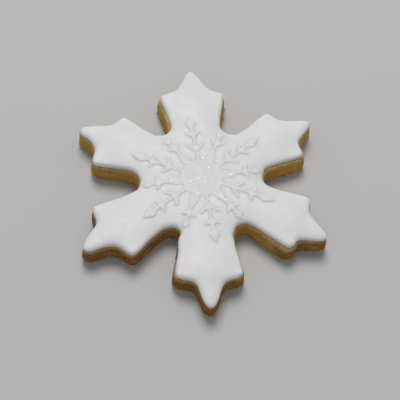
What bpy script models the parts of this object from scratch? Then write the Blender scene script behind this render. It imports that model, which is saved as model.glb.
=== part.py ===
"""Decorated snowflake cookie: a cut-out biscuit, its white icing and a thin snowflake laid on the icing.

Metres, +Z up. The origin is the middle of the underside, on the surface that the cookie lies on.
"""

import math
from collections import namedtuple

import bmesh
import bpy
import numpy as np
from mathutils import Vector, noise

# Heights
BISCUIT_TOP = 0.0070
JOINT_GAP = 0.0003
ICING_THICKNESS = 0.0020
TOPPER_THICKNESS = 0.0005
ICING_BOTTOM = BISCUIT_TOP + JOINT_GAP
ICING_TOP = ICING_BOTTOM + ICING_THICKNESS
TOPPER_BOTTOM = ICING_TOP + JOINT_GAP

# The six arms, counterclockwise: the direction in degrees from +X, how far the tip reaches, how far the
# biscuit reaches past the icing there, and the two sides as seen from the middle of the cookie. A side
# has the half widths at its neck, barb, saddle and flank, how far out the barb sits, and how far the
# biscuit reaches past the icing at the neck and at the barb.
Side = namedtuple("Side", "neck barb saddle flank barb_at neck_ledge barb_ledge")
Arm = namedtuple("Arm", "angle reach tip_ledge right left")
ARMS = (
    Arm(26.7, 0.0454, 0.0005,
        Side(0.0078, 0.0102, 0.0052, 0.0033, 0.0357, 0.0012, 0.0012),
        Side(0.0090, 0.0109, 0.0063, 0.0037, 0.0355, 0.0005, 0.0005)),
    Arm(87.7, 0.0460, 0.0004,
        Side(0.0087, 0.0109, 0.0063, 0.0039, 0.0354, 0.0004, 0.0004),
        Side(0.0085, 0.0113, 0.0062, 0.0035, 0.0353, 0.0012, 0.0010)),
    Arm(148.0, 0.0454, 0.0005,
        Side(0.0094, 0.0112, 0.0062, 0.0040, 0.0350, 0.0005, 0.0005),
        Side(0.0073, 0.0106, 0.0052, 0.0027, 0.0354, 0.0007, 0.0006)),
    Arm(209.8, 0.0462, 0.0005,
        Side(0.0090, 0.0113, 0.0058, 0.0039, 0.0351, 0.0005, 0.0005),
        Side(0.0086, 0.0108, 0.0048, 0.0027, 0.0344, 0.0006, 0.0003)),
    Arm(267.8, 0.0470, 0.0001,
        Side(0.0088, 0.0105, 0.0046, 0.0031, 0.0348, 0.0001, 0.0008),
        Side(0.0093, 0.0111, 0.0054, 0.0034, 0.0353, 0.0007, 0.0006)),
    Arm(326.3, 0.0465, 0.0003,
        Side(0.0074, 0.0093, 0.0052, 0.0035, 0.0367, 0.0005, 0.0012),
        Side(0.0091, 0.0111, 0.0060, 0.0037, 0.0350, 0.0005, 0.0005)),
)
ARM_LENGTH = 0.0460

# The notch that follows each arm: its direction in degrees, how far its floor is from the middle, and
# how much the floor rises to each side
Notch = namedtuple("Notch", "angle floor rise_before rise_after")
NOTCHES = (
    Notch(57.0, 0.0215, 0.0008, 0.0006),
    Notch(117.8, 0.0218, 0.0003, 0.0011),
    Notch(178.3, 0.0201, 0.0003, 0.0009),
    Notch(240.0, 0.0203, 0.0012, 0.0010),
    Notch(298.4, 0.0213, 0.0014, 0.0004),
    Notch(358.0, 0.0212, 0.0006, 0.0008),
)
NOTCH_SIDE_OFFSET = 0.0023

# One side of an average arm from the neck to the tip. SHANK gives the distance along the arm, and
# there the half width as a share of the way from the neck's to the barb's.
SHANK = ((0.0218, 0.0), (0.0260, 0.25), (0.0300, 0.68), (0.0333, 1.0))
BARB_AT = 0.0352
BARB_ROUNDING = 0.0002
SHOULDER = (0.0364, 0.80)
SADDLE_AT = 0.0376
FLANK_AT = 0.0412
NIB = (0.0446, 0.0019)
HEAD_LEDGE_SHARES = (0.0, 0.3, 0.6, 0.9, 1.0)

# The axis points that the rows of the cage meet in, one for each point of SHANK to NIB
AXIS = (0.0170, 0.0240, 0.0283, 0.0315, 0.0334, 0.0350, 0.0367, 0.0393, 0.0424)
HUB_KNEE = 0.0110

# The sides as rings of the cage, from the bottom up: how far in from the outline, and the height
BISCUIT_RINGS = ((0.0005, 0.0), (-0.0001, 0.0014), (0.0001, 0.0054), (0.0006, BISCUIT_TOP))
ICING_RINGS = (
    (0.0003, ICING_BOTTOM),
    (-0.0001, ICING_BOTTOM + 0.0007),
    (0.0005, ICING_TOP - 0.0003),
    (0.0018, ICING_TOP),
)
TIP_DROOP = 0.0004
TIP_INSET_SHARE = 0.75
LEAST_WIDTH_SHARE = 0.3
CRUMB_RELIEF = 0.00018
CRUMB_SCALE = 0.0022
FLAT_MARGIN = 0.0002

# The thin snowflake: its middle, the direction of its first large spoke in degrees, and how far each
# small spoke is turned from halfway between two large ones
TOPPER_CENTRE = (0.0007, -0.0001)
TOPPER_TURN = 33.9
SMALL_SPOKE_DRIFT = (0.0, 0.0, 0.0, 2.5, 0.0, 0.0)
STEM = 0.00055
KNOB_STEPS = 5


def clear_scene():
    for obj in list(bpy.data.objects):
        bpy.data.objects.remove(obj, do_unlink=True)


def new_collection(name):
    collection = bpy.data.collections.new(name)
    bpy.context.scene.collection.children.link(collection)
    return collection


def new_material(name, colour, roughness, subsurface=0.0):
    material = bpy.data.materials.new(name)
    material.use_nodes = True
    shader = material.node_tree.nodes["Principled BSDF"]
    shader.inputs["Base Color"].default_value = (*colour, 1.0)
    shader.inputs["Roughness"].default_value = roughness
    shader.inputs["Metallic"].default_value = 0.0
    shader.inputs["Subsurface Weight"].default_value = subsurface
    shader.inputs["Subsurface Scale"].default_value = 0.002
    return material


def add_object(name, mesh, material, collection):
    mesh.materials.clear()
    mesh.materials.append(material)
    mesh.shade_smooth()
    mesh.set_sharp_from_angle(angle=math.radians(40.0))
    obj = bpy.data.objects.new(name, mesh)
    collection.objects.link(obj)
    return obj


def evaluated_mesh(obj, name):
    """The mesh that the object's modifiers make, as a mesh of its own; the object is removed."""
    graph = bpy.context.evaluated_depsgraph_get()
    mesh = bpy.data.meshes.new_from_object(obj.evaluated_get(graph))
    mesh.name = name
    bpy.data.objects.remove(obj, do_unlink=True)
    return mesh


def along(direction, distance, across=0.0):
    """The point at a distance out in a direction in degrees, and across to the left of it."""
    angle = math.radians(direction)
    x = distance * math.cos(angle) - across * math.sin(angle)
    y = distance * math.sin(angle) + across * math.cos(angle)
    return x, y


def arm_side(side):
    """One side of an average arm, from its neck to beside its tip, as (along, across) points."""
    shift = side.barb_at - BARB_AT
    widen = side.barb - side.neck
    points = [(u, side.neck + share * widen) for u, share in SHANK]
    points[-2] = (points[-2][0] + 0.5 * shift, points[-2][1])
    points[-1] = (points[-1][0] + shift, points[-1][1])
    points.append((side.barb_at, side.barb - BARB_ROUNDING))
    points.append((SHOULDER[0] + shift, SHOULDER[1] * side.barb))
    points.append((SADDLE_AT + 0.5 * shift, side.saddle))
    points.append((FLANK_AT, side.flank))
    points.append(NIB)
    return points


def outline_points():
    """The plan outline of the icing: for each arm its right side, tip and left side, then the notch."""
    points = []
    for arm, notch in zip(ARMS, NOTCHES):
        stretch = arm.reach / ARM_LENGTH
        points += [along(arm.angle, u * stretch, -v) for u, v in arm_side(arm.right)]
        points.append(along(arm.angle, arm.reach))
        points += [along(arm.angle, u * stretch, v) for u, v in reversed(arm_side(arm.left))]
        points.append(along(notch.angle, notch.floor + notch.rise_before, -NOTCH_SIDE_OFFSET))
        points.append(along(notch.angle, notch.floor))
        points.append(along(notch.angle, notch.floor + notch.rise_after, NOTCH_SIDE_OFFSET))
    return np.array(points)


def side_ledges(side, tip_ledge):
    """How far the biscuit reaches past the icing along one side of an arm, from its neck to its tip."""
    shank = [side.neck_ledge + share * (side.barb_ledge - side.neck_ledge) for _, share in SHANK]
    head = [side.barb_ledge + share * (tip_ledge - side.barb_ledge) for share in HEAD_LEDGE_SHARES]
    return shank + head


def ledges():
    """How far the biscuit reaches past the icing, for each point of the outline."""
    values = []
    for index, arm in enumerate(ARMS):
        following = ARMS[(index + 1) % len(ARMS)]
        values += side_ledges(arm.right, arm.tip_ledge)
        values.append(arm.tip_ledge)
        values += reversed(side_ledges(arm.left, arm.tip_ledge))
        values += [0.5 * (arm.left.neck_ledge + following.right.neck_ledge)] * 3
    return np.array(values)


def spline_controls(points):
    """The control points of the closed cubic spline that passes through the given points."""
    count = len(points)
    weights = np.zeros((count, count))
    for i in range(count):
        weights[i, i] = 4.0 / 6.0
        weights[i, i - 1] = 1.0 / 6.0
        weights[i, (i + 1) % count] = 1.0 / 6.0
    return np.linalg.solve(weights, points)


def outward_normals(points):
    tangents = np.roll(points, -1, axis=0) - np.roll(points, 1, axis=0)
    tangents /= np.linalg.norm(tangents, axis=1)[:, None]
    return np.stack([tangents[:, 1], -tangents[:, 0]], axis=1)


def ring_points(outline, inset):
    """The outline moved in by a distance, held short of the arm's axis beside the narrow tip."""
    moved = outline - inset * outward_normals(outline)
    if inset <= 0.0:
        return moved
    side_count = len(AXIS)
    per_arm = 2 * side_count + 4
    for index, arm in enumerate(ARMS):
        angle = math.radians(arm.angle)
        outward = np.array([math.cos(angle), math.sin(angle)])
        left = np.array([-outward[1], outward[0]])
        for offset in range(2 * side_count + 1):
            i = index * per_arm + offset
            before = outline[i] @ left
            after = moved[i] @ left
            least = LEAST_WIDTH_SHARE * before
            if abs(after) < abs(least) or after * before < 0.0:
                moved[i] += (least - after) * left
        tip = index * per_arm + side_count
        moved[tip] = outline[tip] - TIP_INSET_SHARE * inset * outward
    return moved


def tip_share(x, y):
    """From 0 over most of the cookie to 1 at the tips of the arms."""
    start = 0.8 * ARM_LENGTH
    share = min(max((math.hypot(x, y) - start) / (ARM_LENGTH - start), 0.0), 1.0)
    return share * share


def side_cage(outline, rings):
    """A mesh of the sides alone, open at the top and the bottom, and the vertices of its rings."""
    mesh = bmesh.new()
    made = []
    for inset, height in rings:
        plan = ring_points(outline, inset)
        made.append([mesh.verts.new((x, y, height)) for x, y in plan])
    count = len(outline)
    for lower, upper in zip(made, made[1:]):
        for i in range(count):
            j = (i + 1) % count
            mesh.faces.new((lower[i], lower[j], upper[j], upper[i]))
    return mesh, made


def close_top(mesh, ring, height):
    """Quads over the top: rows across each arm, and four round each notch that meet in the middle."""
    side_count = len(AXIS)
    per_arm = 2 * side_count + 4
    middle = mesh.verts.new((0.0, 0.0, height))
    axes = []
    knees = []
    for index, arm in enumerate(ARMS):
        stretch = arm.reach / ARM_LENGTH
        axes.append([mesh.verts.new((*along(arm.angle, u * stretch), height)) for u in AXIS])
        knees.append(mesh.verts.new((*along(NOTCHES[index].angle, HUB_KNEE), height)))
    for index in range(len(ARMS)):
        base = index * per_arm
        right = ring[base : base + side_count]
        tip = ring[base + side_count]
        left = ring[base + side_count + 1 : base + 2 * side_count + 1][::-1]
        notch_left, floor, notch_right = ring[base + 2 * side_count + 1 : base + per_arm]
        axis = axes[index]
        for row in range(side_count - 1):
            mesh.faces.new((right[row], right[row + 1], axis[row + 1], axis[row]))
            mesh.faces.new((axis[row], axis[row + 1], left[row + 1], left[row]))
        mesh.faces.new((right[-1], tip, left[-1], axis[-1]))
        following = (index + 1) % len(ARMS)
        next_neck = ring[following * per_arm]
        next_axis = axes[following][0]
        knee = knees[index]
        mesh.faces.new((middle, axis[0], knee, next_axis))
        mesh.faces.new((axis[0], left[0], notch_left, knee))
        mesh.faces.new((notch_left, floor, notch_right, knee))
        mesh.faces.new((notch_right, next_neck, next_axis, knee))


def smooth_mesh(name, cage):
    """The cage after one level of subdivision."""
    mesh = bpy.data.meshes.new(name)
    cage.to_mesh(mesh)
    cage.free()
    obj = bpy.data.objects.new(name, mesh)
    bpy.context.scene.collection.objects.link(obj)
    subdivide = obj.modifiers.new("soften", "SUBSURF")
    subdivide.levels = 1
    subdivide.render_levels = 1
    return evaluated_mesh(obj, name)


def cap_open_rims(mesh):
    """Closes each open rim with flat triangles, and turns all faces outwards."""
    work = bmesh.new()
    work.from_mesh(mesh)
    open_edges = [edge for edge in work.edges if edge.is_boundary]
    caps = bmesh.ops.holes_fill(work, edges=open_edges, sides=0)["faces"]
    bmesh.ops.triangulate(work, faces=caps)
    bmesh.ops.recalc_face_normals(work, faces=work.faces)
    work.to_mesh(mesh)
    work.free()


def roughen_sides(mesh, lowest, highest):
    """Crumbly relief on the baked side; the flat top and bottom stay flat."""
    for vertex in mesh.vertices:
        at = vertex.co
        if lowest < at.z < highest:
            outward = Vector((at.x, at.y, 0.0)).normalized()
            vertex.co = at + CRUMB_RELIEF * noise.noise(at / CRUMB_SCALE) * outward


def make_biscuit(outline, collection):
    wider = outline + ledges()[:, None] * outward_normals(outline)
    cage, _ = side_cage(wider, BISCUIT_RINGS)
    mesh = smooth_mesh("biscuit", cage)
    roughen_sides(mesh, FLAT_MARGIN, BISCUIT_TOP - FLAT_MARGIN)
    cap_open_rims(mesh)
    material = new_material("baked biscuit", (0.52, 0.33, 0.14), 0.85)
    return add_object("biscuit", mesh, material, collection)


def make_icing(outline, collection):
    cage, rings = side_cage(outline, ICING_RINGS)
    close_top(cage, rings[-1], ICING_TOP)
    for vertex in rings[-2] + rings[-1]:
        vertex.co.z -= TIP_DROOP * tip_share(vertex.co.x, vertex.co.y)
    mesh = smooth_mesh("icing", cage)
    cap_open_rims(mesh)
    material = new_material("white icing", (0.86, 0.86, 0.86), 0.55, 0.3)
    return add_object("icing", mesh, material, collection)


def knob(u, v, radius, start, end):
    """Points round a rounded end, from one angle in degrees to another; 0 is outwards, 90 across."""
    points = []
    for step in range(KNOB_STEPS):
        angle = math.radians(start + (end - start) * step / (KNOB_STEPS - 1))
        points.append((u + radius * math.cos(angle), v + radius * math.sin(angle)))
    return points


def large_spoke():
    """Half the outline of a large spoke from the hub to its tip, as (along, across) points."""
    return [
        (0.0071, 0.0009),
        (0.0079, STEM),
        (0.0104, STEM),
        *knob(0.0134, 0.0028, 0.00065, 135.0, -45.0),
        (0.0127, 0.0010),
        (0.0130, STEM),
        (0.0157, STEM),
        (0.0164, 0.0008),
        *knob(0.0181, 0.0022, 0.0005, 130.0, -40.0),
        (0.0183, 0.0011),
        (0.0189, 0.0006),
        (0.0199, 0.0006),
        (0.0208, 0.0011),
        (0.0219, 0.0016),
        (0.0226, 0.0017),
        (0.0235, 0.0014),
        (0.0245, 0.0008),
        (0.0252, 0.0002),
    ]


def small_spoke():
    """Half the outline of a small spoke from the hub to its tip, as (along, across) points."""
    return [
        (0.0073, 0.0014),
        (0.0083, 0.0016),
        (0.0093, 0.0016),
        (0.0104, 0.0011),
        (0.0116, 0.0007),
        (0.0127, STEM),
        (0.0136, 0.0007),
        *knob(0.0154, 0.0021, 0.0005, 130.0, -30.0),
        (0.0156, 0.0011),
        (0.0161, 0.0006),
        (0.0168, 0.0006),
        (0.0177, 0.0011),
        (0.0185, 0.0014),
        (0.0193, 0.0010),
        (0.0201, 0.0002),
    ]


def topper_outline():
    """The closed outline of the thin snowflake: each spoke's right half, then its left half."""
    points = []
    step = 360.0 / len(SMALL_SPOKE_DRIFT)
    for index, drift in enumerate(SMALL_SPOKE_DRIFT):
        direction = TOPPER_TURN + step * index
        for half, middle in ((large_spoke(), direction), (small_spoke(), direction + 0.5 * step + drift)):
            points += [along(middle, u, -v) for u, v in half]
            points += [along(middle, u, v) for u, v in reversed(half)]
    return points


def make_topper(collection):
    curve = bpy.data.curves.new("snowflake_topper", "CURVE")
    curve.dimensions = "2D"
    curve.fill_mode = "BOTH"
    curve.extrude = 0.5 * TOPPER_THICKNESS
    outline = topper_outline()
    spline = curve.splines.new("POLY")
    spline.points.add(len(outline) - 1)
    for point, (x, y) in zip(spline.points, outline):
        point.co = (x, y, 0.0, 1.0)
    spline.use_cyclic_u = True
    obj = bpy.data.objects.new("snowflake_topper", curve)
    obj.location = (*TOPPER_CENTRE, TOPPER_BOTTOM + 0.5 * TOPPER_THICKNESS)
    curve.materials.append(new_material("pearly snowflake", (0.84, 0.84, 0.82), 0.45))
    collection.objects.link(obj)
    return obj


def main():
    clear_scene()
    collection = new_collection("snowflake cookie")
    outline = spline_controls(outline_points())
    make_biscuit(outline, collection)
    make_icing(outline, collection)
    make_topper(collection)


main()
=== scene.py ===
"""Looks of the decorated snowflake cookie: its baked side, icing, pearly snowflake, glitter and crumbs.

Metres, +Z up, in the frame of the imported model, whose nodes give the heights. The icing and the biscuit
are made again from the same cage as their solids, and finely enough to hold the relief of the surface.
"""

import math
import random
from collections import namedtuple

import bmesh
import bpy
import numpy as np
from mathutils import Matrix, Vector, noise
from mathutils.bvhtree import BVHTree
from mathutils.kdtree import KDTree


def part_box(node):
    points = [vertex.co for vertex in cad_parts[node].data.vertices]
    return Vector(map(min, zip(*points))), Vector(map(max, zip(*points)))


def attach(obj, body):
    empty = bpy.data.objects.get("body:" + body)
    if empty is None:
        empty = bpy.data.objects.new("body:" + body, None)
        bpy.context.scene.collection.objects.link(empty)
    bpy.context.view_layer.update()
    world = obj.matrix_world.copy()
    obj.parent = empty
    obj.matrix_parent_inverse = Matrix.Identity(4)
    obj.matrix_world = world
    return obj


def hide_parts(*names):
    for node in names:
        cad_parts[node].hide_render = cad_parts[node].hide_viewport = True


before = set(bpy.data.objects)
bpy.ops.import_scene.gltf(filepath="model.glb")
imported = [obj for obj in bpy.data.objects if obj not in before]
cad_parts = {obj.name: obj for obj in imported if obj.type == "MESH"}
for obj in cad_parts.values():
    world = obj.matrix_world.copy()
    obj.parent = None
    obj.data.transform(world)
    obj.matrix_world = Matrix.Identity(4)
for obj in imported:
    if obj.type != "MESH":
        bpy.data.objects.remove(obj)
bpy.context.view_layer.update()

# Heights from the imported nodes
BISCUIT_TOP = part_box("biscuit")[1].z
ICING_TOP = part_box("icing")[1].z
MM = 0.001

# The six arms, counterclockwise, as in the solids: the direction in degrees from +X, how far the tip
# reaches, how far the biscuit reaches past the icing there, and the two sides
Side = namedtuple("Side", "neck barb saddle flank barb_at neck_ledge barb_ledge")
Arm = namedtuple("Arm", "angle reach tip_ledge right left")
ARMS = (
    Arm(26.7, 0.0454, 0.0005,
        Side(0.0078, 0.0102, 0.0052, 0.0033, 0.0357, 0.0012, 0.0012),
        Side(0.0090, 0.0109, 0.0063, 0.0037, 0.0355, 0.0005, 0.0005)),
    Arm(87.7, 0.0460, 0.0004,
        Side(0.0087, 0.0109, 0.0063, 0.0039, 0.0354, 0.0004, 0.0004),
        Side(0.0085, 0.0113, 0.0062, 0.0035, 0.0353, 0.0012, 0.0010)),
    Arm(148.0, 0.0454, 0.0005,
        Side(0.0094, 0.0112, 0.0062, 0.0040, 0.0350, 0.0005, 0.0005),
        Side(0.0073, 0.0106, 0.0052, 0.0027, 0.0354, 0.0007, 0.0006)),
    Arm(209.8, 0.0462, 0.0005,
        Side(0.0090, 0.0113, 0.0058, 0.0039, 0.0351, 0.0005, 0.0005),
        Side(0.0086, 0.0108, 0.0048, 0.0027, 0.0344, 0.0006, 0.0003)),
    Arm(267.8, 0.0470, 0.0001,
        Side(0.0088, 0.0105, 0.0046, 0.0031, 0.0348, 0.0001, 0.0008),
        Side(0.0093, 0.0111, 0.0054, 0.0034, 0.0353, 0.0007, 0.0006)),
    Arm(326.3, 0.0465, 0.0003,
        Side(0.0074, 0.0093, 0.0052, 0.0035, 0.0367, 0.0005, 0.0012),
        Side(0.0091, 0.0111, 0.0060, 0.0037, 0.0350, 0.0005, 0.0005)),
)
ARM_LENGTH = 0.0460

# The notch that follows each arm: its direction in degrees, how far its floor is from the middle, and
# how much the floor rises to each side
Notch = namedtuple("Notch", "angle floor rise_before rise_after")
NOTCHES = (
    Notch(57.0, 0.0215, 0.0008, 0.0006),
    Notch(117.8, 0.0218, 0.0003, 0.0011),
    Notch(178.3, 0.0201, 0.0003, 0.0009),
    Notch(240.0, 0.0203, 0.0012, 0.0010),
    Notch(298.4, 0.0213, 0.0014, 0.0004),
    Notch(358.0, 0.0212, 0.0006, 0.0008),
)
NOTCH_SIDE_OFFSET = 0.0023
NOTCH_POINTS = 3

# One side of an average arm from the neck to the tip, as in the solids. A barb that is further out takes
# the points beside it along by the pull, a share of its own shift.
SHANK = ((0.0218, 0.0), (0.0260, 0.25), (0.0300, 0.68), (0.0333, 1.0))
BARB_AT = 0.0352
BARB_ROUNDING = 0.0002
BARB_PULL = 0.5
SHOULDER = (0.0364, 0.80)
SADDLE_AT = 0.0376
FLANK_AT = 0.0412
NIB = (0.0446, 0.0019)
HEAD_LEDGE_SHARES = (0.0, 0.3, 0.6, 0.9, 1.0)
AXIS = (0.0170, 0.0240, 0.0283, 0.0315, 0.0334, 0.0350, 0.0367, 0.0393, 0.0424)
HUB_KNEE = 0.0110
POINTS_PER_ARM = 2 * len(AXIS) + 1 + NOTCH_POINTS

# What the neighbours and the point itself weigh in a cubic spline
NEIGHBOUR_WEIGHT = 1.0 / 6.0
OWN_WEIGHT = 4.0 / 6.0

# The sides as rings of the cage, from the bottom up: how far in from the outline, and the height
BISCUIT_RINGS = (
    (0.0014, 0.0),
    (0.0005, 0.0),
    (-0.0001, 0.0012),
    (-0.0001, 0.0030),
    (0.0001, 0.0047),
    (0.0003, 0.0061),
    (0.0007, BISCUIT_TOP),
)
ICING_SINK = 0.00005
ICING_RINGS = (
    (0.0003, BISCUIT_TOP - ICING_SINK),
    (0.0, BISCUIT_TOP + 0.0006),
    (0.0006, ICING_TOP - 0.0004),
    (0.0018, ICING_TOP),
)
TIP_DROOP = 0.0006
TIP_START = 0.8
TIP_INSET_SHARE = 0.75
LEAST_WIDTH_SHARE = 0.3
FINE_LEVELS = 3

# The icing's crown: it swells over the middle of the arms and falls off towards the edge
CROWN_RISE = 0.00030
CROWN_FALL = 0.00070
CROWN_WIDTH = 0.0050
EDGE_CUTS = 6
MOST_NEARNESS = 1.2
RIPPLE = 0.00003
RIPPLE_SCALE = 0.0070

# The baked side's relief: how deep each kind is, and how large its forms are. The pits are the peaks of
# their noise, and the crumble is at the lower edge alone. The offsets keep the patterns apart.
LUMP_DEPTH = 0.00018
LUMP_SIZE = 0.0022
GRAIN_DEPTH = 0.00008
GRAIN_SIZE = 0.0008
LAYER_DEPTH = 0.00003
LAYER_LENGTH = 0.008
LAYER_THICKNESS = 0.0007
PIT_DEPTH = 0.0008
PIT_SIZE = 0.0013
PIT_LEVEL = 0.38
PIT_OFFSET = Vector((7.3, 2.1, 5.5))
CRUMBLE_DEPTH = 0.00040
CRUMBLE_SIZE = 0.0010
CRUMBLE_HEIGHT = 0.0014
CRUMBLE_OFFSET = Vector((3.1, 9.2, 1.7))

# The thin snowflake: its middle, the direction of its first large spoke in degrees, and how far each
# small spoke is turned from halfway between two large ones. Its hub is a low sugary patch hardly higher
# than the icing. Further out it stands a little prouder, rounds off over the bevel, and follows the icing
# over the rim as far as the deepest fall.
TOPPER_CENTRE = (0.0007, -0.0001)
TOPPER_TURN = 33.9
TOPPER_HUB = 0.0055
TOPPER_FULL = 0.0150
TOPPER_PROUD_AT_HUB = 0.00004
TOPPER_PROUD_AT_TIPS = 0.00020
TOPPER_BEVEL = 0.00075
SUGAR_RELIEF = 0.00005
SUGAR_SCALE = 0.0007
TOPPER_EDGE_SINK = 0.00002
TOPPER_SINK = 0.0002
TOPPER_THICKNESS = 0.0005
TOPPER_DEEPEST_FALL = 0.0014
SMALL_SPOKE_DRIFT = (0.0, 0.0, 0.0, 2.5, 0.0, 0.0)
STEM = 0.00055
KNOB_STEPS = 9
TOPPER_VOXEL = 0.00015
TOPPER_WELD = 0.00001
TOPPER_SMOOTHING = 0.5
TOPPER_SMOOTHINGS = 4
OUTLINE_CUTS = 12
RAY_START = 0.1
DOWN = Vector((0.0, 0.0, -1.0))

# Where the brightest flakes of glitter lie, on and beside the snowflake; their brightness is partly a
# painted glow
SPARKLES = (
    (0.0033, 0.0036),
    (-0.0005, -0.0003),
    (0.0012, -0.0018),
    (-0.0033, -0.0014),
    (-0.0097, -0.0003),
    (0.0018, 0.0075),
    (-0.0015, -0.0061),
    (0.0105, 0.0002),
    (0.0060, -0.0077),
    (0.0074, -0.0096),
)
SPARKLE_RADIUS = 0.00021
SPARKLE_LIFT = 0.00008
SPARKLE_TILT = 0.1
# A painted glow: light that the larger flakes give off of their own
SPARKLE_PAINTED_GLOW = 0.55
SPARKLE_SEED = 5

# The fine glitter, whose lift is a share of each flake's radius, with a faint painted glow
GLITTER_COUNT = 300
GLITTER_RADIUS = (0.00010, 0.00020)
GLITTER_LIFT = 0.3
GLITTER_TILT = 0.3
GLITTER_PAINTED_GLOW = 0.20
GLITTER_SEED = 7
FLAKE_SIDES = 6
FLAKE_THICKNESS = 0.15
FLAKE_TAPER = 0.9
UPWARD = 0.9

# The crumbs: they cluster where a broad noise is over the level, low on the sides. How far each stands
# out, how far up it rests and how large its lumps are come as shares of its radius.
CRUMB_COUNT = 420
CRUMB_RADIUS = (0.00018, 0.00056)
CRUMB_SHRINK = (0.6, 1.0)
CRUMB_WIDTH = (0.7, 1.0)
CRUMB_DEPTH = (0.6, 0.9)
CRUMB_CLUSTER = 0.0060
CRUMB_LEVEL = 0.05
CRUMB_HEIGHTS = (0.0002, 0.0011)
CRUMB_STANDING_OUT = 0.5
CRUMB_RESTING = 1.1
CRUMB_LUMPS = 0.35
CRUMB_LUMP_SIZE = 0.8
CRUMB_SEED = 11
SIDEWAYS = 0.7

# The camera: 0.35 m off, looking down at the cookie at the photograph's angle
CAMERA_PLACE = (-0.03496, -0.18150, 0.29672)
CAMERA_RIGHT = (0.99222, -0.11491, 0.04795)
CAMERA_BACK = (-0.10058, -0.51265, 0.85269)
SENSOR_MM = 36.0
FOCAL_MM = 92.21
NEAREST = 0.01

# The stage: the soft light from high on the far side, the even sky and the floor
KEY_PLACE = (0.0, 0.95, 1.82)
KEY_SIZE = 1.0
KEY_POWER = 23.5
KEY_COLOUR = (1.0, 0.99, 0.97)
SKY_COLOUR = (0.95, 0.97, 1.0)
SKY_STRENGTH = 0.30
FLOOR_SIZE = 2.0
FLOOR_COLOUR = (0.60, 0.60, 0.605)

# Colours
ICING_SHADES = ((0.815, 0.815, 0.815), (0.845, 0.845, 0.84))
TOPPER_SHADES = ((0.80, 0.81, 0.795), (0.84, 0.85, 0.835))
GOLDEN_SHADES = ((0.56, 0.352, 0.066), (0.60, 0.325, 0.056))
CRUMB_SHADES = ((0.66, 0.48, 0.22), (0.85, 0.71, 0.44))
GLITTER_SHADES = ((0.97, 0.97, 0.96), (0.86, 0.90, 1.0))
# Darker brown towards the lower left and the lower right of the cookie
DARKER_BROWN = (0.27, 0.106, 0.015)
BROWNED = (0.27, 0.136, 0.032)
# A painted highlight along the upper edge of the side, where the rim catches the light
PAINTED_UPPER_EDGE_HIGHLIGHT = (0.76, 0.61, 0.38)
LOWER_EDGE = (0.85, 0.68, 0.40)
STREAKS = (0.72, 0.53, 0.24)
DARK_SPECKS = (0.20, 0.095, 0.025)
LIGHT_SPECKS = (0.78, 0.57, 0.26)

# How far each colour of light runs in the icing, against the others
WHITE_SCATTER = (1.0, 0.95, 0.88)
BISCUIT_SCATTER = (1.0, 0.6, 0.3)

# The two sides of the cookie that are coloured darker brown: the direction out to each, and between
# which distances out, in millimetres, its brown comes in
LOWER_LEFT = (-0.6, -0.8, 0.0)
LOWER_LEFT_FADE = (8.0, 30.0)
LOWER_RIGHT = (0.8, -0.6, 0.0)
LOWER_RIGHT_FADE = (31.0, 34.5)
UP = (0.0, 0.0, 1.0)


def along(direction, distance, across=0.0):
    """The point at a distance out in a direction in degrees, and across to the left of it."""
    angle = math.radians(direction)
    x = distance * math.cos(angle) - across * math.sin(angle)
    y = distance * math.sin(angle) + across * math.cos(angle)
    return x, y


def arm_side(side):
    """One side of an average arm, from its neck to beside its tip, as (along, across) points."""
    shift = side.barb_at - BARB_AT
    widen = side.barb - side.neck
    points = [(u, side.neck + share * widen) for u, share in SHANK]
    points[-2] = (points[-2][0] + BARB_PULL * shift, points[-2][1])
    points[-1] = (points[-1][0] + shift, points[-1][1])
    points.append((side.barb_at, side.barb - BARB_ROUNDING))
    points.append((SHOULDER[0] + shift, SHOULDER[1] * side.barb))
    points.append((SADDLE_AT + BARB_PULL * shift, side.saddle))
    points.append((FLANK_AT, side.flank))
    points.append(NIB)
    return points


def outline_points():
    """The plan outline of the icing: for each arm its right side, tip and left side, then the notch."""
    points = []
    for arm, notch in zip(ARMS, NOTCHES):
        stretch = arm.reach / ARM_LENGTH
        points += [along(arm.angle, u * stretch, -v) for u, v in arm_side(arm.right)]
        points.append(along(arm.angle, arm.reach))
        points += [along(arm.angle, u * stretch, v) for u, v in reversed(arm_side(arm.left))]
        points.append(along(notch.angle, notch.floor + notch.rise_before, -NOTCH_SIDE_OFFSET))
        points.append(along(notch.angle, notch.floor))
        points.append(along(notch.angle, notch.floor + notch.rise_after, NOTCH_SIDE_OFFSET))
    return np.array(points)


def side_ledges(side, tip_ledge):
    """How far the biscuit reaches past the icing along one side of an arm, from its neck to its tip."""
    shank = [side.neck_ledge + share * (side.barb_ledge - side.neck_ledge) for _, share in SHANK]
    head = [side.barb_ledge + share * (tip_ledge - side.barb_ledge) for share in HEAD_LEDGE_SHARES]
    return shank + head


def ledges():
    """How far the biscuit reaches past the icing, for each point of the outline."""
    values = []
    for index, arm in enumerate(ARMS):
        following = ARMS[(index + 1) % len(ARMS)]
        values += side_ledges(arm.right, arm.tip_ledge)
        values.append(arm.tip_ledge)
        values += reversed(side_ledges(arm.left, arm.tip_ledge))
        values += [0.5 * (arm.left.neck_ledge + following.right.neck_ledge)] * NOTCH_POINTS
    return np.array(values)


def spline_controls(points):
    """The control points of the closed cubic spline that passes through the given points."""
    count = len(points)
    weights = np.zeros((count, count))
    for i in range(count):
        weights[i, i] = OWN_WEIGHT
        weights[i, i - 1] = NEIGHBOUR_WEIGHT
        weights[i, (i + 1) % count] = NEIGHBOUR_WEIGHT
    return np.linalg.solve(weights, points)


def outward_normals(points):
    """The direction straight out of the outline at each of its points."""
    tangents = np.roll(points, -1, axis=0) - np.roll(points, 1, axis=0)
    tangents /= np.linalg.norm(tangents, axis=1)[:, None]
    return np.stack([tangents[:, 1], -tangents[:, 0]], axis=1)


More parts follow.
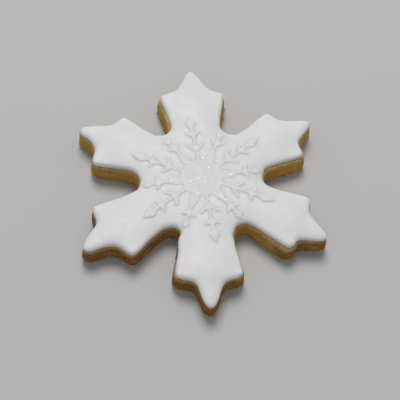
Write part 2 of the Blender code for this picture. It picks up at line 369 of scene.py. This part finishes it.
def ring_points(outline, inset):
    """The outline moved in by a distance, held short of the arm's axis beside the narrow tip."""
    moved = outline - inset * outward_normals(outline)
    if inset <= 0.0:
        return moved
    side_count = len(AXIS)
    for index, arm in enumerate(ARMS):
        angle = math.radians(arm.angle)
        outward = np.array([math.cos(angle), math.sin(angle)])
        left = np.array([-outward[1], outward[0]])
        for offset in range(2 * side_count + 1):
            i = index * POINTS_PER_ARM + offset
            before = outline[i] @ left
            after = moved[i] @ left
            least = LEAST_WIDTH_SHARE * before
            if abs(after) < abs(least) or after * before < 0.0:
                moved[i] += (least - after) * left
        tip = index * POINTS_PER_ARM + side_count
        moved[tip] = outline[tip] - TIP_INSET_SHARE * inset * outward
    return moved


def tip_share(x, y):
    """From 0 over most of the cookie to 1 at the tips of the arms."""
    start = TIP_START * ARM_LENGTH
    share = min(max((math.hypot(x, y) - start) / (ARM_LENGTH - start), 0.0), 1.0)
    return share * share


def side_cage(outline, rings):
    """A mesh of the sides alone, open at the top and the bottom, and the vertices of its rings."""
    mesh = bmesh.new()
    made = []
    for inset, height in rings:
        plan = ring_points(outline, inset)
        made.append([mesh.verts.new((x, y, height)) for x, y in plan])
    count = len(outline)
    for lower, upper in zip(made, made[1:]):
        for i in range(count):
            j = (i + 1) % count
            mesh.faces.new((lower[i], lower[j], upper[j], upper[i]))
    return mesh, made


def close_ring(mesh, ring, height):
    """Quads across a ring: rows across each arm, and four round each notch that meet in the middle."""
    side_count = len(AXIS)
    middle = mesh.verts.new((0.0, 0.0, height))
    axes = []
    knees = []
    for index, arm in enumerate(ARMS):
        stretch = arm.reach / ARM_LENGTH
        axes.append([mesh.verts.new((*along(arm.angle, u * stretch), height)) for u in AXIS])
        knees.append(mesh.verts.new((*along(NOTCHES[index].angle, HUB_KNEE), height)))
    for index in range(len(ARMS)):
        base = index * POINTS_PER_ARM
        notch_base = base + 2 * side_count + 1
        right = ring[base : base + side_count]
        tip = ring[base + side_count]
        left = ring[base + side_count + 1 : notch_base][::-1]
        notch_left, floor, notch_right = ring[notch_base : notch_base + NOTCH_POINTS]
        axis = axes[index]
        for row in range(side_count - 1):
            mesh.faces.new((right[row], right[row + 1], axis[row + 1], axis[row]))
            mesh.faces.new((axis[row], axis[row + 1], left[row + 1], left[row]))
        mesh.faces.new((right[-1], tip, left[-1], axis[-1]))
        following = (index + 1) % len(ARMS)
        next_neck = ring[following * POINTS_PER_ARM]
        next_axis = axes[following][0]
        knee = knees[index]
        mesh.faces.new((middle, axis[0], knee, next_axis))
        mesh.faces.new((axis[0], left[0], notch_left, knee))
        mesh.faces.new((notch_left, floor, notch_right, knee))
        mesh.faces.new((notch_right, next_neck, next_axis, knee))


def new_object(name, mesh):
    obj = bpy.data.objects.new(name, mesh)
    bpy.context.scene.collection.objects.link(obj)
    return obj


def applied(obj, name):
    """The mesh that the object's modifiers make, as a mesh of its own; the object is removed."""
    graph = bpy.context.evaluated_depsgraph_get()
    mesh = bpy.data.meshes.new_from_object(obj.evaluated_get(graph))
    mesh.name = name
    bpy.data.objects.remove(obj, do_unlink=True)
    return mesh


def finely_subdivided(name, cage):
    """The smooth mesh that a cage makes; the cage is freed."""
    mesh = bpy.data.meshes.new(name + "_cage")
    bmesh.ops.recalc_face_normals(cage, faces=cage.faces)
    cage.to_mesh(mesh)
    cage.free()
    obj = new_object(name + "_cage", mesh)
    subdivide = obj.modifiers.new("soften", "SUBSURF")
    subdivide.levels = FINE_LEVELS
    subdivide.render_levels = FINE_LEVELS
    return applied(obj, name)


def cap_open_rims(mesh):
    """Closes each open rim with flat triangles, and turns all faces outwards."""
    work = bmesh.new()
    work.from_mesh(mesh)
    open_edges = [edge for edge in work.edges if edge.is_boundary]
    caps = bmesh.ops.holes_fill(work, edges=open_edges, sides=0)["faces"]
    bmesh.ops.triangulate(work, faces=caps)
    bmesh.ops.recalc_face_normals(work, faces=work.faces)
    work.to_mesh(mesh)
    work.free()


def read_vectors(mesh, name):
    """A vector of each vertex, such as its place or its normal, as rows."""
    flat = np.empty(3 * len(mesh.vertices))
    mesh.vertices.foreach_get(name, flat)
    return flat.reshape(-1, 3)


def coordinates(mesh):
    return read_vectors(mesh, "co")


def set_coordinates(mesh, points):
    mesh.vertices.foreach_set("co", points.ravel())
    mesh.update()


def add_piece(name, mesh, material, replaced=None):
    """An object that rides on the one body, with its material, in place of a CAD node."""
    mesh.materials.clear()
    mesh.materials.append(material)
    mesh.shade_smooth()
    obj = new_object(name, mesh)
    if replaced:
        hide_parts(replaced)
    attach(obj, "root")
    return obj


# Shader nodes

def new_material(name):
    material = bpy.data.materials.new(name)
    material.use_nodes = True
    tree = material.node_tree
    return material, tree, tree.nodes["Principled BSDF"]


def millimetres(tree):
    """The object's own coordinates, in millimetres."""
    coordinates_node = tree.nodes.new("ShaderNodeTexCoord")
    scaled = tree.nodes.new("ShaderNodeVectorMath")
    scaled.operation = "SCALE"
    scaled.inputs["Scale"].default_value = 1.0 / MM
    tree.links.new(coordinates_node.outputs["Object"], scaled.inputs[0])
    return scaled.outputs["Vector"]


def stretched(tree, vector, scale):
    """A place with each of its three coordinates scaled."""
    node = tree.nodes.new("ShaderNodeVectorMath")
    node.operation = "MULTIPLY"
    node.inputs[1].default_value = scale
    tree.links.new(vector, node.inputs[0])
    return node.outputs["Vector"]


def aligned(tree, vector, direction):
    """How far a place is out in a direction."""
    node = tree.nodes.new("ShaderNodeVectorMath")
    node.operation = "DOT_PRODUCT"
    node.inputs[1].default_value = direction
    tree.links.new(vector, node.inputs[0])
    return node.outputs["Value"]


def noise_factor(tree, vector, scale, detail=3.0, roughness=0.5):
    node = tree.nodes.new("ShaderNodeTexNoise")
    node.inputs["Scale"].default_value = scale
    node.inputs["Detail"].default_value = detail
    node.inputs["Roughness"].default_value = roughness
    tree.links.new(vector, node.inputs["Vector"])
    return node.outputs["Fac"]


def mapped(tree, value, low, high, new_low=0.0, new_high=1.0):
    node = tree.nodes.new("ShaderNodeMapRange")
    node.interpolation_type = "SMOOTHSTEP"
    node.inputs["From Min"].default_value = low
    node.inputs["From Max"].default_value = high
    node.inputs["To Min"].default_value = new_low
    node.inputs["To Max"].default_value = new_high
    tree.links.new(value, node.inputs["Value"])
    return node.outputs["Result"]


def put(tree, value, socket):
    """Links a node's output to a socket, or sets the socket to a constant."""
    if isinstance(value, bpy.types.NodeSocket):
        tree.links.new(value, socket)
    elif isinstance(value, tuple):
        socket.default_value = (*value, 1.0)
    else:
        socket.default_value = value


def mixed(tree, factor, first, second, blend="MIX"):
    node = tree.nodes.new("ShaderNodeMix")
    node.data_type = "RGBA"
    node.blend_type = blend
    put(tree, factor, node.inputs[0])
    put(tree, first, node.inputs[6])
    put(tree, second, node.inputs[7])
    return node.outputs[2]


def combined(tree, operation, first, second):
    node = tree.nodes.new("ShaderNodeMath")
    node.operation = operation
    put(tree, first, node.inputs[0])
    put(tree, second, node.inputs[1])
    return node.outputs["Value"]


def shaded(tree, value, low, high, shades):
    """The first shade where a value is low, going over to the second where it is high."""
    return mixed(tree, mapped(tree, value, low, high), *shades)


def scatter_light(shader, weight, radius, scale):
    shader.inputs["Subsurface Weight"].default_value = weight
    shader.inputs["Subsurface Radius"].default_value = radius
    shader.inputs["Subsurface Scale"].default_value = scale


def bumped(tree, shader, height, depth_mm):
    """Gives a shader a fine relief that is too small for the mesh."""
    node = tree.nodes.new("ShaderNodeBump")
    node.inputs["Distance"].default_value = depth_mm * MM
    tree.links.new(height, node.inputs["Height"])
    tree.links.new(node.outputs["Normal"], shader.inputs["Normal"])


def icing_material():
    """Smooth satin white: faint clouds in its tone and sheen, and a very fine tooth."""
    material, tree, shader = new_material("white icing")
    place = millimetres(tree)
    clouds = noise_factor(tree, place, scale=0.14, detail=3.0)
    tree.links.new(shaded(tree, clouds, 0.35, 0.65, ICING_SHADES), shader.inputs["Base Color"])
    patches = noise_factor(tree, place, scale=0.5, detail=4.0)
    roughness = mapped(tree, patches, 0.3, 0.7, new_low=0.42, new_high=0.52)
    tree.links.new(roughness, shader.inputs["Roughness"])
    shader.inputs["Specular IOR Level"].default_value = 0.4
    scatter_light(shader, weight=0.8, radius=WHITE_SCATTER, scale=0.0016)
    tooth = noise_factor(tree, place, scale=2.4, detail=4.0, roughness=0.6)
    bumped(tree, shader, tooth, depth_mm=0.012)
    return material


def topper_material():
    """The same white, a little warmer, with a pearly lustre."""
    material, tree, shader = new_material("pearly snowflake")
    place = millimetres(tree)
    grain = noise_factor(tree, place, scale=3.0, detail=3.0)
    tree.links.new(shaded(tree, grain, 0.35, 0.65, TOPPER_SHADES), shader.inputs["Base Color"])
    roughness = mapped(tree, grain, 0.3, 0.7, new_low=0.42, new_high=0.55)
    tree.links.new(roughness, shader.inputs["Roughness"])
    shader.inputs["Specular IOR Level"].default_value = 0.35
    scatter_light(shader, weight=0.2, radius=WHITE_SCATTER, scale=0.0008)
    shader.inputs["Sheen Weight"].default_value = 0.05
    shader.inputs["Sheen Roughness"].default_value = 0.4
    bumped(tree, shader, noise_factor(tree, place, scale=5.0, detail=3.0), depth_mm=0.02)
    return material


def biscuit_material():
    """Golden brown baked dough, browner low down and darker brown on two sides, with streaks, specks, a
    pale crumbly lower edge and a painted highlight on the upper edge.
    """
    material, tree, shader = new_material("baked biscuit")
    place = millimetres(tree)
    height = aligned(tree, place, UP)
    patches = noise_factor(tree, place, scale=0.12, detail=2.0)
    grain = noise_factor(tree, place, scale=1.6, detail=6.0, roughness=0.65)
    layers = noise_factor(tree, stretched(tree, place, (0.20, 0.20, 1.4)), scale=1.0, detail=3.0)
    lengths = noise_factor(tree, place, scale=0.35, detail=2.0)
    colour = shaded(tree, patches, 0.38, 0.62, GOLDEN_SHADES)
    # Darker brown towards the lower left and the lower right
    lower_left = mapped(tree, aligned(tree, place, LOWER_LEFT), *LOWER_LEFT_FADE, 0.0, 0.95)
    lower_right = mapped(tree, aligned(tree, place, LOWER_RIGHT), *LOWER_RIGHT_FADE, 0.0, 0.85)
    colour = mixed(tree, combined(tree, "MAXIMUM", lower_left, lower_right), colour, DARKER_BROWN)
    colour = mixed(tree, mapped(tree, height, 0.4, 3.8, 0.6, 0.0), colour, BROWNED)
    # A painted highlight: the upper edge of the side is lighter where the rim catches the light
    colour = mixed(tree, mapped(tree, height, 5.3, 6.8, 0.0, 0.58), colour, PAINTED_UPPER_EDGE_HIGHLIGHT)
    lowest = mapped(tree, height, 0.5, 1.7, 1.0, 0.0)
    crumbly = combined(tree, "MULTIPLY", lowest, mapped(tree, grain, 0.36, 0.52))
    colour = mixed(tree, crumbly, colour, LOWER_EDGE)
    layered = mapped(tree, layers, 0.48, 0.62, 0.0, 0.32)
    streaked = combined(tree, "MULTIPLY", layered, mapped(tree, lengths, 0.40, 0.58))
    colour = mixed(tree, streaked, colour, STREAKS)
    colour = mixed(tree, mapped(tree, grain, 0.36, 0.48, 0.65, 0.0), colour, DARK_SPECKS)
    colour = mixed(tree, mapped(tree, grain, 0.55, 0.69, 0.0, 0.4), colour, LIGHT_SPECKS)
    tree.links.new(colour, shader.inputs["Base Color"])
    shader.inputs["Roughness"].default_value = 0.9
    shader.inputs["Specular IOR Level"].default_value = 0.25
    scatter_light(shader, weight=0.1, radius=BISCUIT_SCATTER, scale=0.0006)
    crust = noise_factor(tree, place, scale=2.6, detail=6.0, roughness=0.7)
    bumped(tree, shader, crust, depth_mm=0.22)
    return material


def crumb_material():
    """Pale dry crumb."""
    material, tree, shader = new_material("pale crumb")
    place = millimetres(tree)
    grain = noise_factor(tree, place, scale=3.0, detail=4.0)
    tree.links.new(shaded(tree, grain, 0.35, 0.65, CRUMB_SHADES), shader.inputs["Base Color"])
    shader.inputs["Roughness"].default_value = 0.9
    bumped(tree, shader, grain, depth_mm=0.1)
    return material


def glitter_material(name, painted_glow):
    """Clear edible flakes: near white and glossy, some with a bluish tint, with a painted glow."""
    material, tree, shader = new_material(name)
    place = millimetres(tree)
    tint = noise_factor(tree, place, scale=0.4, detail=1.0)
    tree.links.new(shaded(tree, tint, 0.5, 0.62, GLITTER_SHADES), shader.inputs["Base Color"])
    shader.inputs["Roughness"].default_value = 0.3
    shader.inputs["Specular IOR Level"].default_value = 0.5
    # A painted glow: the flakes give off light of their own
    shader.inputs["Emission Color"].default_value = (1.0, 1.0, 1.0, 1.0)
    shader.inputs["Emission Strength"].default_value = painted_glow
    return material


def floor_material():
    material, _, shader = new_material("pale floor")
    shader.inputs["Base Color"].default_value = (*FLOOR_COLOUR, 1.0)
    shader.inputs["Roughness"].default_value = 0.8
    return material


# Pieces

def edge_nearness(points, outline):
    """For each point, how near it is to the edge: 1 on a straight edge, falling off inwards."""
    closed = np.vstack([outline, outline[:1]])
    starts = closed[:-1]
    steps = closed[1:] - starts
    fine = np.vstack([starts + steps * (cut / EDGE_CUTS) for cut in range(EDGE_CUTS)])
    lengths = np.tile(np.linalg.norm(steps, axis=1) / EDGE_CUTS, EDGE_CUTS)
    total = np.zeros(len(points))
    for (x, y), length in zip(fine, lengths):
        square = (points[:, 0] - x) ** 2 + (points[:, 1] - y) ** 2
        total += length * np.exp(-square / CROWN_WIDTH**2)
    return np.minimum(total / (CROWN_WIDTH * math.sqrt(math.pi)), MOST_NEARNESS)


def make_icing(outline):
    """The icing: rounded rim, soft crown and drooping tips."""
    controls = spline_controls(outline)
    cage, rings = side_cage(controls, ICING_RINGS)
    close_ring(cage, rings[-1], ICING_TOP)
    for vertex in rings[-2] + rings[-1]:
        vertex.co.z -= TIP_DROOP * tip_share(vertex.co.x, vertex.co.y)
    mesh = finely_subdivided("icing_coat", cage)
    points = coordinates(mesh)
    share = np.clip((points[:, 2] - BISCUIT_TOP) / (ICING_TOP - BISCUIT_TOP), 0.0, 1.0)
    crown = CROWN_RISE - CROWN_FALL * edge_nearness(points, outline)
    ripple = np.array([noise.noise(Vector(point) / RIPPLE_SCALE) for point in points])
    points[:, 2] += share**2 * (crown + RIPPLE * ripple)
    set_coordinates(mesh, points)
    cap_open_rims(mesh)
    return add_piece("icing_coat", mesh, icing_material(), "icing")


def biscuit_relief(at):
    """How far the baked surface stands out at a place, in metres."""
    lumps = LUMP_DEPTH * noise.noise(at / LUMP_SIZE)
    grain = GRAIN_DEPTH * noise.noise(at / GRAIN_SIZE)
    flattened = Vector((at.x / LAYER_LENGTH, at.y / LAYER_LENGTH, at.z / LAYER_THICKNESS))
    layers = LAYER_DEPTH * noise.noise(flattened)
    pit = max(noise.noise(at / PIT_SIZE + PIT_OFFSET) - PIT_LEVEL, 0.0)
    edge = max(1.0 - at.z / CRUMBLE_HEIGHT, 0.0)
    crumble = CRUMBLE_DEPTH * edge * noise.noise(at / CRUMBLE_SIZE + CRUMBLE_OFFSET)
    return lumps + grain + layers - PIT_DEPTH * pit + crumble


def make_biscuit(outline):
    """The biscuit: wider than the icing by its ledge, with a crumbly side and a flat baked underside."""
    controls = spline_controls(outline)
    wider = controls + ledges()[:, None] * outward_normals(controls)
    cage, rings = side_cage(wider, BISCUIT_RINGS)
    close_ring(cage, rings[0], 0.0)
    mesh = finely_subdivided("biscuit_crumb", cage)
    points = coordinates(mesh)
    normals = read_vectors(mesh, "normal")
    relief = np.array([biscuit_relief(Vector(point)) for point in points])
    relief[points[:, 2] > BISCUIT_TOP - ICING_SINK] = 0.0
    points += relief[:, None] * normals
    points[:, 2] = np.clip(points[:, 2], 0.0, BISCUIT_TOP)
    set_coordinates(mesh, points)
    cap_open_rims(mesh)
    return add_piece("biscuit_crumb", mesh, biscuit_material(), "biscuit")


def knob(u, v, radius, start, end):
    """Points round a rounded end, from one angle in degrees to another; 0 is outwards, 90 across."""
    points = []
    for step in range(KNOB_STEPS):
        angle = math.radians(start + (end - start) * step / (KNOB_STEPS - 1))
        points.append((u + radius * math.cos(angle), v + radius * math.sin(angle)))
    return points


def large_spoke():
    """Half the outline of a large spoke from the hub to its tip, as (along, across) points."""
    return [
        (0.0071, 0.0009),
        (0.0079, STEM),
        (0.0104, STEM),
        *knob(0.0134, 0.0028, 0.00065, 135.0, -45.0),
        (0.0127, 0.0010),
        (0.0130, STEM),
        (0.0157, STEM),
        (0.0164, 0.0008),
        *knob(0.0181, 0.0022, 0.0005, 130.0, -40.0),
        (0.0183, 0.0011),
        (0.0189, 0.0006),
        (0.0199, 0.0006),
        (0.0206, 0.0011),
        (0.0214, 0.0016),
        (0.0221, 0.0017),
        (0.0228, 0.0014),
        (0.0241, 0.0007),
        (0.0254, 0.0001),
    ]


def small_spoke():
    """Half the outline of a small spoke from the hub to its tip, as (along, across) points."""
    return [
        (0.0073, 0.0014),
        (0.0083, 0.0016),
        (0.0093, 0.0016),
        (0.0104, 0.0011),
        (0.0116, 0.0007),
        (0.0127, STEM),
        (0.0136, 0.0007),
        *knob(0.0154, 0.0021, 0.0005, 130.0, -30.0),
        (0.0156, 0.0011),
        (0.0161, 0.0006),
        (0.0168, 0.0006),
        (0.0177, 0.0011),
        (0.0185, 0.0014),
        (0.0193, 0.0010),
        (0.0201, 0.0002),
    ]


def topper_outline():
    """The closed outline of the thin snowflake: each spoke's right half, then its left half."""
    points = []
    step = 360.0 / len(SMALL_SPOKE_DRIFT)
    for index, drift in enumerate(SMALL_SPOKE_DRIFT):
        direction = TOPPER_TURN + step * index
        for half, middle in ((large_spoke(), direction), (small_spoke(), direction + 0.5 * step + drift)):
            points += [along(middle, u, -v) for u, v in half]
            points += [along(middle, u, v) for u, v in reversed(half)]
    return points


def surface_tree(piece):
    mesh = piece.data
    return BVHTree.FromPolygons([v.co for v in mesh.vertices], [p.vertices for p in mesh.polygons])


def height_at(tree, x, y, lowest):
    """The height of a surface straight below a place, or the lowest value beyond its edge."""
    hit = tree.ray_cast(Vector((x, y, RAY_START)), DOWN)[0]
    return max(hit.z, lowest) if hit else lowest


def distances_inside(points, outline):
    """How far each point is from the nearest point of a closed outline."""
    starts = np.array(outline)
    steps = np.roll(starts, -1, axis=0) - starts
    fine = np.vstack([starts + steps * (cut / OUTLINE_CUTS) for cut in range(OUTLINE_CUTS)])
    tree = KDTree(len(fine))
    for index, (x, y) in enumerate(fine):
        tree.insert((x, y, 0.0), index)
    tree.balance()
    return np.array([tree.find((x, y, 0.0))[2] for x, y, _ in points])


def make_topper(icing):
    """The snowflake: its flat shape remeshed finely, rounded towards every edge and laid on the icing."""
    curve = bpy.data.curves.new("snowflake_outline", "CURVE")
    curve.dimensions = "2D"
    curve.fill_mode = "BOTH"
    curve.extrude = 0.5 * TOPPER_THICKNESS
    outline = topper_outline()
    spline = curve.splines.new("POLY")
    spline.points.add(len(outline) - 1)
    for point, (x, y) in zip(spline.points, outline):
        point.co = (x, y, 0.0, 1.0)
    spline.use_cyclic_u = True
    flat = applied(new_object("snowflake_outline", curve), "snowflake_flat")
    solid = new_object("snowflake_flat", flat)
    weld = solid.modifiers.new("weld", "WELD")
    weld.merge_threshold = TOPPER_WELD
    remesh = solid.modifiers.new("remesh", "REMESH")
    remesh.mode = "VOXEL"
    remesh.voxel_size = TOPPER_VOXEL
    soften = solid.modifiers.new("soften", "SMOOTH")
    soften.factor = TOPPER_SMOOTHING
    soften.iterations = TOPPER_SMOOTHINGS
    mesh = applied(solid, "snowflake_relief")
    points = coordinates(mesh)
    inside = np.clip(distances_inside(points, outline) / TOPPER_BEVEL, 0.0, 1.0)
    radius = np.hypot(points[:, 0], points[:, 1])
    outwards = np.clip((radius - TOPPER_HUB) / (TOPPER_FULL - TOPPER_HUB), 0.0, 1.0)
    proud = TOPPER_PROUD_AT_HUB + (TOPPER_PROUD_AT_TIPS - TOPPER_PROUD_AT_HUB) * outwards
    sugar = np.array([noise.noise(Vector((x, y, 0.0)) / SUGAR_SCALE) for x, y, _ in points])
    proud += SUGAR_RELIEF * sugar * (1.0 - outwards)
    rounded = (proud + TOPPER_EDGE_SINK) * (1.0 - (1.0 - inside) ** 2) - TOPPER_EDGE_SINK
    points[:, 2] = np.where(points[:, 2] > 0.0, rounded, -TOPPER_SINK)
    points[:, :2] += np.array(TOPPER_CENTRE)
    tree = surface_tree(icing)
    lowest = ICING_TOP - TOPPER_DEEPEST_FALL
    points[:, 2] += np.array([height_at(tree, x, y, lowest) for x, y, _ in points])
    set_coordinates(mesh, points)
    return add_piece("snowflake_relief", mesh, topper_material(), "snowflake_topper")


def add_flake(mesh, place, normal, radius, turn):
    """A thin flat flake."""
    matrix = normal.to_track_quat("Z", "Y").to_matrix().to_4x4()
    matrix.translation = place
    matrix = matrix @ Matrix.Rotation(turn, 4, "Z")
    bmesh.ops.create_cone(
        mesh,
        cap_ends=True,
        segments=FLAKE_SIDES,
        radius1=radius,
        radius2=FLAKE_TAPER * radius,
        depth=FLAKE_THICKNESS * radius,
        matrix=matrix,
    )


def tilted(draw, spread):
    """A direction that is nearly straight up."""
    return Vector((draw.gauss(0.0, spread), draw.gauss(0.0, spread), 1.0)).normalized()


def highest(trees, x, y):
    return max(height_at(tree, x, y, 0.0) for tree in trees)


def flake_piece(name, mesh, painted_glow):
    """A piece of flakes with flat sides, so that each catches the light by itself, with its painted glow.
    """
    data = bpy.data.meshes.new(name)
    mesh.to_mesh(data)
    mesh.free()
    add_piece(name, data, glitter_material(name, painted_glow))
    data.shade_flat()


def make_glitter(carriers):
    """Fine edible glitter strewn over the snowflake, with a faint painted glow."""
    draw = random.Random(GLITTER_SEED)
    mesh = bmesh.new()
    tops = [v for v in carriers[0].data.vertices if v.normal.z > UPWARD]
    trees = [surface_tree(carrier) for carrier in carriers]
    for _ in range(GLITTER_COUNT):
        x, y, _ = draw.choice(tops).co
        tilt = tilted(draw, GLITTER_TILT)
        radius = draw.uniform(*GLITTER_RADIUS)
        place = Vector((x, y, highest(trees, x, y) + GLITTER_LIFT * radius))
        add_flake(mesh, place, tilt, radius, draw.uniform(0.0, 1.0))
    flake_piece("glitter", mesh, GLITTER_PAINTED_GLOW)


def make_sparkles(carriers):
    """The larger flakes of glitter, which catch the light and also carry a painted glow."""
    draw = random.Random(SPARKLE_SEED)
    mesh = bmesh.new()
    trees = [surface_tree(carrier) for carrier in carriers]
    for x, y in SPARKLES:
        tilt = tilted(draw, SPARKLE_TILT)
        place = Vector((x, y, highest(trees, x, y) + SPARKLE_LIFT))
        add_flake(mesh, place, tilt, SPARKLE_RADIUS, draw.uniform(0.0, 1.0))
    flake_piece("sparkles", mesh, SPARKLE_PAINTED_GLOW)


def make_crumbs(biscuit):
    """Loose crumbs stuck to the side of the biscuit, close to its lower edge."""
    draw = random.Random(CRUMB_SEED)
    mesh = bmesh.new()
    low, high = CRUMB_HEIGHTS
    sides = [v for v in biscuit.data.vertices if abs(v.normal.z) < SIDEWAYS and low < v.co.z < high]
    clustered = [v for v in sides if noise.noise(v.co / CRUMB_CLUSTER) > CRUMB_LEVEL]
    for _ in range(CRUMB_COUNT):
        vertex = draw.choice(clustered)
        radius = draw.uniform(*CRUMB_RADIUS) * draw.uniform(*CRUMB_SHRINK)
        place = vertex.co + CRUMB_STANDING_OUT * radius * vertex.normal
        place.z = max(place.z, CRUMB_RESTING * radius)
        turn = Matrix.Rotation(draw.uniform(0.0, math.tau), 4, vertex.normal)
        stretch = Matrix.Diagonal((1.0, draw.uniform(*CRUMB_WIDTH), draw.uniform(*CRUMB_DEPTH), 1.0))
        matrix = Matrix.Translation(place) @ turn @ stretch
        made = bmesh.ops.create_icosphere(mesh, subdivisions=2, radius=radius, matrix=matrix)
        for corner in made["verts"]:
            away = corner.co - place
            lump = CRUMB_LUMPS * noise.noise(corner.co / (CRUMB_LUMP_SIZE * radius))
            corner.co = place + away * (1.0 + lump)
            corner.co.z = max(corner.co.z, 0.0)
    data = bpy.data.meshes.new("crumbs")
    mesh.to_mesh(data)
    mesh.free()
    add_piece("crumbs", data, crumb_material())


# The stage

def make_floor():
    """A plain pale floor, level with the underside."""
    mesh = bmesh.new()
    bmesh.ops.create_grid(mesh, x_segments=1, y_segments=1, size=FLOOR_SIZE)
    data = bpy.data.meshes.new("floor")
    mesh.to_mesh(data)
    mesh.free()
    data.materials.append(floor_material())
    new_object("floor", data)


def add_area_light(name, place, size, power, colour):
    """A round soft light that faces the cookie."""
    light = bpy.data.lights.new(name, "AREA")
    light.shape = "DISK"
    light.size = size
    light.energy = power
    light.color = colour
    obj = bpy.data.objects.new(name, light)
    obj.location = place
    obj.rotation_mode = "QUATERNION"
    obj.rotation_quaternion = Vector(place).to_track_quat("Z", "Y")
    bpy.context.scene.collection.objects.link(obj)


def make_lights():
    """A soft light from high on the far side, and an even sky."""
    add_area_light("key", KEY_PLACE, KEY_SIZE, KEY_POWER, KEY_COLOUR)
    world = bpy.data.worlds.new("even sky")
    world.use_nodes = True
    background = world.node_tree.nodes["Background"]
    background.inputs["Color"].default_value = (*SKY_COLOUR, 1.0)
    background.inputs["Strength"].default_value = SKY_STRENGTH
    bpy.context.scene.world = world
    bpy.context.scene.view_settings.view_transform = "Standard"


def make_camera():
    """A camera at the photograph's angle."""
    back = Vector(CAMERA_BACK).normalized()
    right = (Vector(CAMERA_RIGHT) - Vector(CAMERA_RIGHT).dot(back) * back).normalized()
    up = back.cross(right)
    matrix = Matrix((right, up, back)).transposed().to_4x4()
    matrix.translation = CAMERA_PLACE
    data = bpy.data.cameras.new("camera")
    data.sensor_width = SENSOR_MM
    data.lens = FOCAL_MM
    data.clip_start = NEAREST
    camera = bpy.data.objects.new("camera", data)
    camera.matrix_world = matrix
    bpy.context.scene.collection.objects.link(camera)
    bpy.context.scene.camera = camera


make_camera()
make_lights()
make_floor()
plan = outline_points()
biscuit_piece = make_biscuit(plan)
icing_piece = make_icing(plan)
topper_piece = make_topper(icing_piece)
make_glitter([topper_piece, icing_piece])
make_sparkles([topper_piece, icing_piece])
make_crumbs(biscuit_piece)
